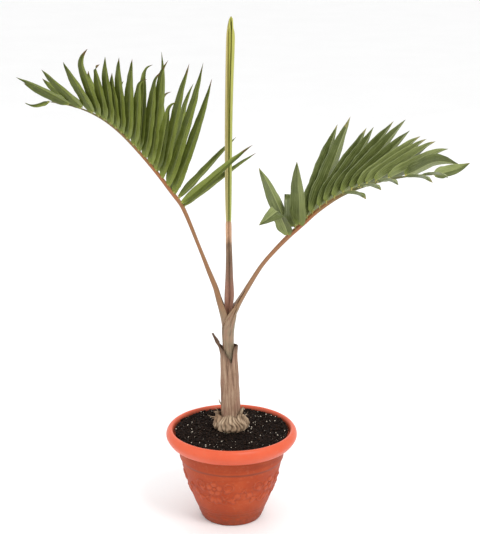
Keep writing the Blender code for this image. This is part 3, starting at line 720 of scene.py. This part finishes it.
# Dry strands that stand off the husk and the sheath: turn round the stem in degrees, foot's
# height and distance from the stem, length, lean outwards in degrees, and radius at the foot.
STRANDS = (
    (196, 0.2010, 0.0290, 0.021, 52, 0.0013),
    (206, 0.1960, 0.0310, 0.013, 60, 0.0010),
    (328, 0.2040, 0.0270, 0.020, 26, 0.0012),
    (340, 0.2030, 0.0260, 0.013, 38, 0.0009),
    (184, 0.2240, 0.0165, 0.017, 14, 0.0022),
    (150, 0.2020, 0.0270, 0.014, 40, 0.0010),
    (88, 0.2020, 0.0260, 0.016, 35, 0.0011),
    (30, 0.2030, 0.0260, 0.011, 30, 0.0009),
    (262, 0.3080, 0.0162, 0.014, 8, 0.0007),
)


def make_strands(surface):
    """Tapered, curling strands of torn fibre."""
    parts, steps, sides = [], 12, 8
    for turn, z, away, length, lean, thick in STRANDS:
        a = math.radians(turn)
        outward = Vector((math.cos(a), math.sin(a), 0))
        sideways = Vector((-math.sin(a), math.cos(a), 0))
        place = Vector(stem_axis([z])[0]) + outward * away
        points = []
        for i in range(steps):
            t = i / (steps - 1)
            tilt = math.radians(lean + 26 * math.sin(2.4 * t + turn))
            along = outward * math.sin(tilt) + UP * math.cos(tilt)
            across = sideways.cross(along)
            radius = thick * (1 - t) ** 0.8 + 0.00012
            for k in range(sides):
                b = 2 * math.pi * k / sides
                ring_offset = sideways * math.cos(b) * 1.5 + across * math.sin(b) * 0.7
                points.append(place + ring_offset * radius)
            place = place + along * length / steps
        faces = grid_faces(steps, sides)
        faces += [tuple(range(sides))[::-1], tuple(range((steps - 1) * sides, steps * sides))]
        parts.append((points, faces))
    piece = new_piece("dry_strands", *merged(parts), surface)
    count = len(piece.data.vertices)
    add_values(piece, "around", [(i % sides) / sides for i in range(count)])
    add_values(piece, "length", [v.co.z for v in piece.data.vertices])
    add_values(piece, "edge", np.full(count, 0.15))
    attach(piece, "root")


# ---------------------------------------------------------------- pot


def petal(x, y, angle, near, far, width):
    """Height of one petal or leaf pointing along angle from the origin, from 0 to 1."""
    u = x * math.cos(angle) + y * math.sin(angle)
    v = -x * math.sin(angle) + y * math.cos(angle)
    share = (u - near) / (far - near)
    body = np.clip(1 - (2 * share - 1) ** 2, 0, 1) ** 0.7
    return body * np.clip(1 - (v / (width * (0.35 + body))) ** 2, 0, 1)


# place along a swag, height and lean of each leaf on it
SWAG_LEAVES = (
    (0.015, 0.000, 0.9),
    (0.022, -0.008, -0.9),
    (0.028, -0.009, 0.9),
    (0.036, -0.010, 1.9),
)


def relief_at(x, y, spacing):
    """The garland's height, 0 to 1: rosettes joined by swags, with leaves and curled tendrils."""
    height = np.zeros_like(x)
    for k in range(5):
        turn = 1.57 + k * 2 * math.pi / 5
        height = np.maximum(height, petal(x, y - FLOWER_Y, turn, 0.003, 0.0125, 0.0044))
    height = np.maximum(height, np.clip(1.2 - ((x**2 + (y - FLOWER_Y) ** 2) / 0.0028**2), 0, 1))
    for sign in (-1, 1):
        mirrored = x * sign
        swag = 0.006 - 0.018 * np.sin(math.pi * np.clip(mirrored / spacing, 0, 1))
        rope = np.clip(1 - ((y - swag) / 0.0021) ** 2, 0, 1) * (mirrored > 0.010)
        beads = 0.65 + 0.35 * np.cos(mirrored * 900)
        height = np.maximum(height, rope * beads)
        for place, drop, lean in SWAG_LEAVES:
            leaf = petal(mirrored - place, y - drop, lean, 0.0, 0.013, 0.0034)
            height = np.maximum(height, leaf * 0.85)
        ring = np.hypot(mirrored - 0.021, y - 0.011)
        tendril = np.clip(1 - ((ring - 0.0068) / 0.0014) ** 2, 0, 1) * (mirrored > 0.0135)
        height = np.maximum(height, tendril * 0.75)
        curl = np.hypot(mirrored - 0.012, y + 0.012)
        hook = np.clip(1 - ((curl - 0.0062) / 0.0013) ** 2, 0, 1) * (y < -0.010)
        height = np.maximum(height, hook * 0.7)
    for k in (-1, 0, 1):
        height = np.maximum(height, petal(x, y + 0.004, -1.57 + k * 0.6, 0.003, 0.017, 0.0036) * 0.8)
    return height


def pot_profile():
    """The frame's outline resampled evenly, as (radius, z) rows, from outer foot to inner floor."""
    corners = np.array(outline_of("pot"))
    fine = [corners[0]]
    for a, b in zip(corners, corners[1:]):
        count = max(1, round(np.linalg.norm(b - a) / POT_STEP))
        fine.extend(a + (b - a) * (i + 1) / count for i in range(count))
    fine = np.array(fine)
    rounded = fine.copy()
    for _ in range(2):
        rounded[1:-1] = rounded[1:-1] * 0.5 + (rounded[:-2] + rounded[2:]) * 0.25
    return rounded


def make_pot(surface):
    """The pot turned finely, with the garland raised on its side and drain holes in its floor."""
    profile = pot_profile()
    top = int(np.argmax(profile[:, 1]))
    turn = np.linspace(0, 2 * math.pi, POT_SIDES, endpoint=False)
    points, relief, inside, figured, ledge_shade_mask = [], [], [], [], []
    spacing = 2 * math.pi * 0.088 / GARLANDS / 2 / RELIEF_SCALE
    middle = (RELIEF_FOOT_Z + RELIEF_TOP_Z) / 2
    for row, (radius, z) in enumerate(profile):
        outer = row < top
        above_foot = smooth(RELIEF_FOOT_Z - 0.004, RELIEF_FOOT_Z, z)
        zone = above_foot * (1 - smooth(RELIEF_TOP_Z, RELIEF_TOP_Z + 0.004, z))
        zone = float(zone) if outer else 0.0
        around = (turn * GARLANDS / (2 * math.pi) + RELIEF_TURN) % 1.0
        x = (around - 0.5) * 2 * spacing
        height = relief_at(x, np.full_like(x, (z - middle) / RELIEF_SCALE), spacing) * zone
        grooves = 0.0
        for line_z in (0.021, 0.026, 0.032):
            grooves = max(grooves, math.exp(-(((z - line_z) / 0.0008) ** 2)) if outer else 0.0)
        # painted shade: dark lines under the collar and under the rim
        ledge_shade = sum(math.exp(-(((z - line_z) / 0.0022) ** 2)) for line_z in LEDGE_SHADE_HEIGHTS) if outer else 0.0
        lump = [wobble((math.cos(a) * 0.1, math.sin(a) * 0.1, z), 0.03) * 0.00025 for a in turn]
        size = radius + height * RELIEF_HEIGHT + np.array(lump) - grooves * 0.0005
        for a, r, h in zip(turn, size, height):
            points.append((r * math.cos(a), r * math.sin(a), z))
            relief.append(h)
            figured.append(zone)
            inside.append(float(smooth(top + 1, top + 12, row)))
            ledge_shade_mask.append(ledge_shade)
    faces = grid_faces(len(profile), POT_SIDES)
    faces.append(tuple(range(POT_SIDES))[::-1])
    faces.append(tuple(range((len(profile) - 1) * POT_SIDES, len(profile) * POT_SIDES)))
    piece = new_piece("pot_turned", points, faces, surface, 50)
    add_values(piece, "relief", relief)
    add_values(piece, "figured", figured)
    add_values(piece, "inside", inside)
    add_values(piece, "ledge_shade_mask", ledge_shade_mask)
    drill_drains(piece)
    stand_for(piece, "pot")


def drill_drains(piece):
    """Cuts the drain holes through the floor and keeps the result as the piece's own mesh."""
    for k in range(DRAIN_COUNT):
        a = 2 * math.pi * k / DRAIN_COUNT
        bm = bmesh.new()
        place = Matrix.Translation((DRAIN_CIRCLE * math.cos(a), DRAIN_CIRCLE * math.sin(a), 0))
        bmesh.ops.create_cone(
            bm, segments=32, radius1=DRAIN_RADIUS, radius2=DRAIN_RADIUS, depth=0.03,
            cap_ends=True, matrix=place,
        )
        mesh = bpy.data.meshes.new("drain")
        bm.to_mesh(mesh)
        bm.free()
        cutter = bpy.data.objects.new("drain", mesh)
        bpy.context.scene.collection.objects.link(cutter)
        hole = piece.modifiers.new("drain", "BOOLEAN")
        hole.operation = "DIFFERENCE"
        hole.solver = "MANIFOLD"
        hole.object = cutter
        bpy.context.view_layer.update()
        cut = bpy.data.meshes.new_from_object(piece.evaluated_get(bpy.context.evaluated_depsgraph_get()))
        piece.modifiers.clear()
        piece.data = cut
        bpy.data.objects.remove(cutter)
        bpy.data.meshes.remove(mesh)


# ---------------------------------------------------------------- soil


def soil_top(x, y):
    """Height of the frame's soil surface at a place."""
    place = soil_tree.ray_cast(Vector((x, y, 0.5)), -UP)[0]
    return place.z if place else None


def crumb(place, size, squash, turn):
    """Points and faces of one irregular crumb."""
    bm = bmesh.new()
    bmesh.ops.create_icosphere(bm, subdivisions=1, radius=1.0)
    spin = Matrix.Rotation(turn, 3, Vector((math.sin(turn * 3), math.cos(turn * 5), 0.4)).normalized())
    points = []
    for v in bm.verts:
        ragged = 1 + 0.45 * noise.noise(v.co * 1.3 + Vector(place) * 900)
        shaped = spin @ Vector((v.co.x, v.co.y * 0.8, v.co.z * squash))
        points.append(Vector(place) + shaped * size * ragged)
    faces = [tuple(v.index for v in f.verts) for f in bm.faces]
    bm.free()
    return points, faces


def scatter(count, sizes, lift):
    """count crumbs of random size on the soil, between the husk and the pot's wall."""
    low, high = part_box("potting_soil")
    outer = (high.x - low.x) / 2 - 0.0015
    parts = []
    while len(parts) < count:
        radius, turn = outer * math.sqrt(rng.random()), 2 * math.pi * rng.random()
        x, y = radius * math.cos(turn), radius * math.sin(turn)
        z = soil_top(x, y)
        size = sizes[0] + (sizes[1] - sizes[0]) * rng.random() ** 3
        if z is None or math.hypot(x, y - husk_middle.y) < 0.028:
            continue
        flatness = 0.65 + 0.3 * rng.random()
        own_turn = 6.28 * rng.random()
        parts.append(crumb((x, y, z + size * lift), size, flatness, own_turn))
    return merged(parts)


def make_soil():
    """Rough soil bed over the frame's soil, and loose crumbs and white grains on it."""
    low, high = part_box("potting_soil")
    outer = (high.x - low.x) / 2 - 0.0003
    rings, sides = 90, 220
    points = []
    for r in range(rings):
        radius = outer * (r + 0.5) / rings
        for k in range(sides):
            a = 2 * math.pi * k / sides
            x, y = radius * math.cos(a), radius * math.sin(a)
            z = soil_top(x * 0.985, y * 0.985) or low.z
            rough = 0.0020 * wobble((x, y, 0), 0.006) + 0.0007 * wobble((x, y, 0), 0.0022, 3)
            points.append((x, y, max(z, high.z - 0.012) + rough))
    top = len(points)
    foot_radius = outer * 0.84
    for k in range(sides):
        a = 2 * math.pi * k / sides
        points.append((foot_radius * math.cos(a), foot_radius * math.sin(a), 0.12))
    faces = grid_faces(rings, sides)
    faces = [f[::-1] for f in faces]
    faces.append(tuple(range(sides))[::-1])
    last = (rings - 1) * sides
    faces += [(last + k, last + (k + 1) % sides, top + (k + 1) % sides, top + k) for k in range(sides)]
    faces.append(tuple(range(top, top + sides)))
    earth = soil_material(
        "soil_look", (0.003, 0.0018, 0.0013), (0.010, 0.0055, 0.004), (0.030, 0.015, 0.009),
    )
    bed = new_piece("soil_bed", points, faces, earth)
    stand_for(bed, "potting_soil")
    loose = soil_material(
        "crumb_look", (0.004, 0.0023, 0.0016), (0.014, 0.0075, 0.005), (0.060, 0.030, 0.016),
    )
    crumbs = new_piece("soil_crumbs", *scatter(CRUMBS, (0.0005, 0.0036), 0.35), loose)
    grains = new_piece("perlite", *scatter(PERLITE_GRAINS, (0.0004, 0.0016), 1.3), perlite_material())
    for piece in (crumbs, grains):
        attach(piece, "root")


# ---------------------------------------------------------------- stage


def make_stage():
    """Pale floor, soft lights, even sky and the camera."""
    bm = bmesh.new()
    bmesh.ops.create_grid(bm, x_segments=2, y_segments=2, size=14)
    mesh = bpy.data.meshes.new("floor")
    bm.to_mesh(mesh)
    bm.free()
    mesh.materials.append(floor_material())
    floor = bpy.data.objects.new("floor", mesh)
    floor.location.z = -0.0005
    bpy.context.scene.collection.objects.link(floor)

    world = bpy.data.worlds.new("studio")
    world.use_nodes = True
    sky = world.node_tree.nodes["Background"]
    sky.inputs["Color"].default_value = (1.0, 1.0, 1.0, 1)
    sky.inputs["Strength"].default_value = 1.02
    bpy.context.scene.world = world

    for name, place, size, watts in (
        ("key", (1.2, -1.8, 2.9), 1.0, 46),
        ("fill", (-2.4, -1.4, 1.6), 1.8, 8),
        ("back", (0.2, 2.4, 2.4), 2.2, 14),
    ):
        light = bpy.data.lights.new(name, "AREA")
        light.energy = watts
        light.size = size
        lamp = bpy.data.objects.new(name, light)
        lamp.location = place
        lamp.rotation_mode = "QUATERNION"
        lamp.rotation_quaternion = (Vector((0, 0, 0.45)) - Vector(place)).to_track_quat("-Z", "Y")
        bpy.context.scene.collection.objects.link(lamp)

    camera = bpy.data.objects.new("camera", bpy.data.cameras.new("camera"))
    camera.data.sensor_width = 36
    camera.data.lens = 98.87
    camera.data.clip_start = 0.05
    camera.location = (0.016, -2.6, 1.25)
    camera.rotation_euler = (math.radians(90 - 16.16), 0, 0)
    bpy.context.scene.collection.objects.link(camera)
    bpy.context.scene.camera = camera
    bpy.context.scene.view_settings.view_transform = "Standard"


# ---------------------------------------------------------------- the palm

SECTION_SIZE = 26  # vertices round each section of a stalk in the frame
ORANGE = (0.36, 0.118, 0.030)
BROWN = (0.17, 0.070, 0.030)
GREEN_SKIN = (0.105, 0.120, 0.028)

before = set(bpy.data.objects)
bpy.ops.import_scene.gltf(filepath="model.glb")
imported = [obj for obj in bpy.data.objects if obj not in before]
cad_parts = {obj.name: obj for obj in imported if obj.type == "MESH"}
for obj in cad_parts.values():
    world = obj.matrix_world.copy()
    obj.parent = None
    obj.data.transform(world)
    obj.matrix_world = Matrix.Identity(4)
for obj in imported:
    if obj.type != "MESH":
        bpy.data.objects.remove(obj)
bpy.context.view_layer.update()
soil_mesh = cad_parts["potting_soil"].data
soil_tree = BVHTree.FromPolygons(
    [v.co for v in soil_mesh.vertices], [p.vertices for p in soil_mesh.polygons]
)
husk_low, husk_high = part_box("base_husk")
husk_middle = (husk_low + husk_high) / 2

make_pot(pot_material())
make_soil()

husk_look = dry_fibre_material(
    "husk_look", (0.15, 0.090, 0.052), (0.36, 0.250, 0.160), (0.54, 0.41, 0.28),
    (0.30, 0.180, 0.105), 8,
)
sheath_look = dry_fibre_material(
    "sheath_look", (0.11, 0.064, 0.040), (0.285, 0.172, 0.110), (0.43, 0.300, 0.205),
    (0.27, 0.130, 0.090), 5,
)
bark_look = dry_fibre_material(
    "stem_look", (0.10, 0.07, 0.035), (0.26, 0.21, 0.12), (0.42, 0.34, 0.21), (0.18, 0.16, 0.08),
)
make_torn_tube(
    "base_husk", husk_look, 44, 7, 440, 70, 0.0005, 0.002, 2.0,
    HUSK_PLEATS, HUSK_PLEAT_DEPTH,
)
make_torn_tube("old_sheath", sheath_look, 36, 10, 288, 130, 0.0006, 0.003, 5.0)
make_strands(husk_look)
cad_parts["stem"].data.materials.clear()
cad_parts["stem"].data.materials.append(bark_look)

left_skin = stalk_material(
    "left_stalk_look",
    [
        (0.0, (0.13, 0.12, 0.035)),
        (0.25, (0.22, 0.14, 0.042)),
        (0.55, ORANGE),
        (1.0, (0.30, 0.145, 0.062)),
    ],
    -0.30, -0.005, "X", BROWN, crowned=True,
)
right_skin = stalk_material(
    "right_stalk_look",
    [
        (0.0, (0.30, 0.165, 0.080)),
        (0.30, ORANGE),
        (0.48, (0.24, 0.135, 0.042)),
        (0.66, GREEN_SKIN),
        (1.0, (0.09, 0.11, 0.03)),
    ],
    0.0, 0.36, "X", BROWN, crowned=True,
)
spear_skin = stalk_material(
    "spear_stalk_look",
    [
        (0.0, (0.25, 0.105, 0.058)),
        (0.55, (0.29, 0.145, 0.098)),
        (0.80, (0.19, 0.120, 0.075)),
        (0.90, (0.21, 0.140, 0.085)),
        (0.96, (0.58, 0.36, 0.22)),
    ],
    0.30, 0.585, "Z", BROWN,
)
spear_green = stalk_material(
    "spear_blade_look", [(0.0, (0.29, 0.31, 0.085)), (0.5, (0.38, 0.36, 0.085)), (1.0, (0.50, 0.43, 0.090))],
    0.58, 0.96, "Z", (0.40, 0.32, 0.12),
    halves=((0.66, 0.53, 0.26), (0.38, 0.42, 0.09), (0.12, 0.12, 0.02)),
)
left_line = make_stalk("left_stalk", left_skin, SECTION_SIZE, 240, 0.00022, 1.0)
right_line = make_stalk("right_stalk", right_skin, SECTION_SIZE, 240, 0.00022, 2.0)
make_stalk("spear_stalk", spear_skin, SECTION_SIZE, 120, 0.0003, 3.0)
make_stalk("spear_blade", spear_green, SECTION_SIZE, 200, 0.00035, 4.0)

left_green = leaf_material(
    "left_leaf_look", (0.062, 0.086, 0.009), (0.142, 0.178, 0.020), (0.265, 0.305, 0.066),
    (0.20, 0.12, 0.05), 0.40,
)
right_green = leaf_material(
    "right_leaf_look", (0.074, 0.098, 0.018), (0.158, 0.192, 0.044), (0.320, 0.355, 0.145),
    (0.28, 0.25, 0.09), 0.42,
)
joint_look = stalk_material(
    "leaf_joint_look", [(0.0, (0.30, 0.30, 0.07)), (1.0, (0.42, 0.38, 0.10))], -0.3, 0.3, "X", BROWN,
)
joints = []
for number, node in enumerate(sorted(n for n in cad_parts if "_leaflet_" in n)):
    left = node.startswith("left")
    fullness = LEFT_FULLNESS if left else RIGHT_FULLNESS
    make_leaflet(node, left_green if left else right_green, number, fullness)
    joints.append(pulvinus(node, left_line if left else right_line))
joint_piece = new_piece("leaf_joints", *merged(joints), joint_look)
for name in ("around", "length", "edge"):
    add_values(joint_piece, name, np.linspace(0, 1, len(joint_piece.data.vertices)))
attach(joint_piece, "root")

make_stage()
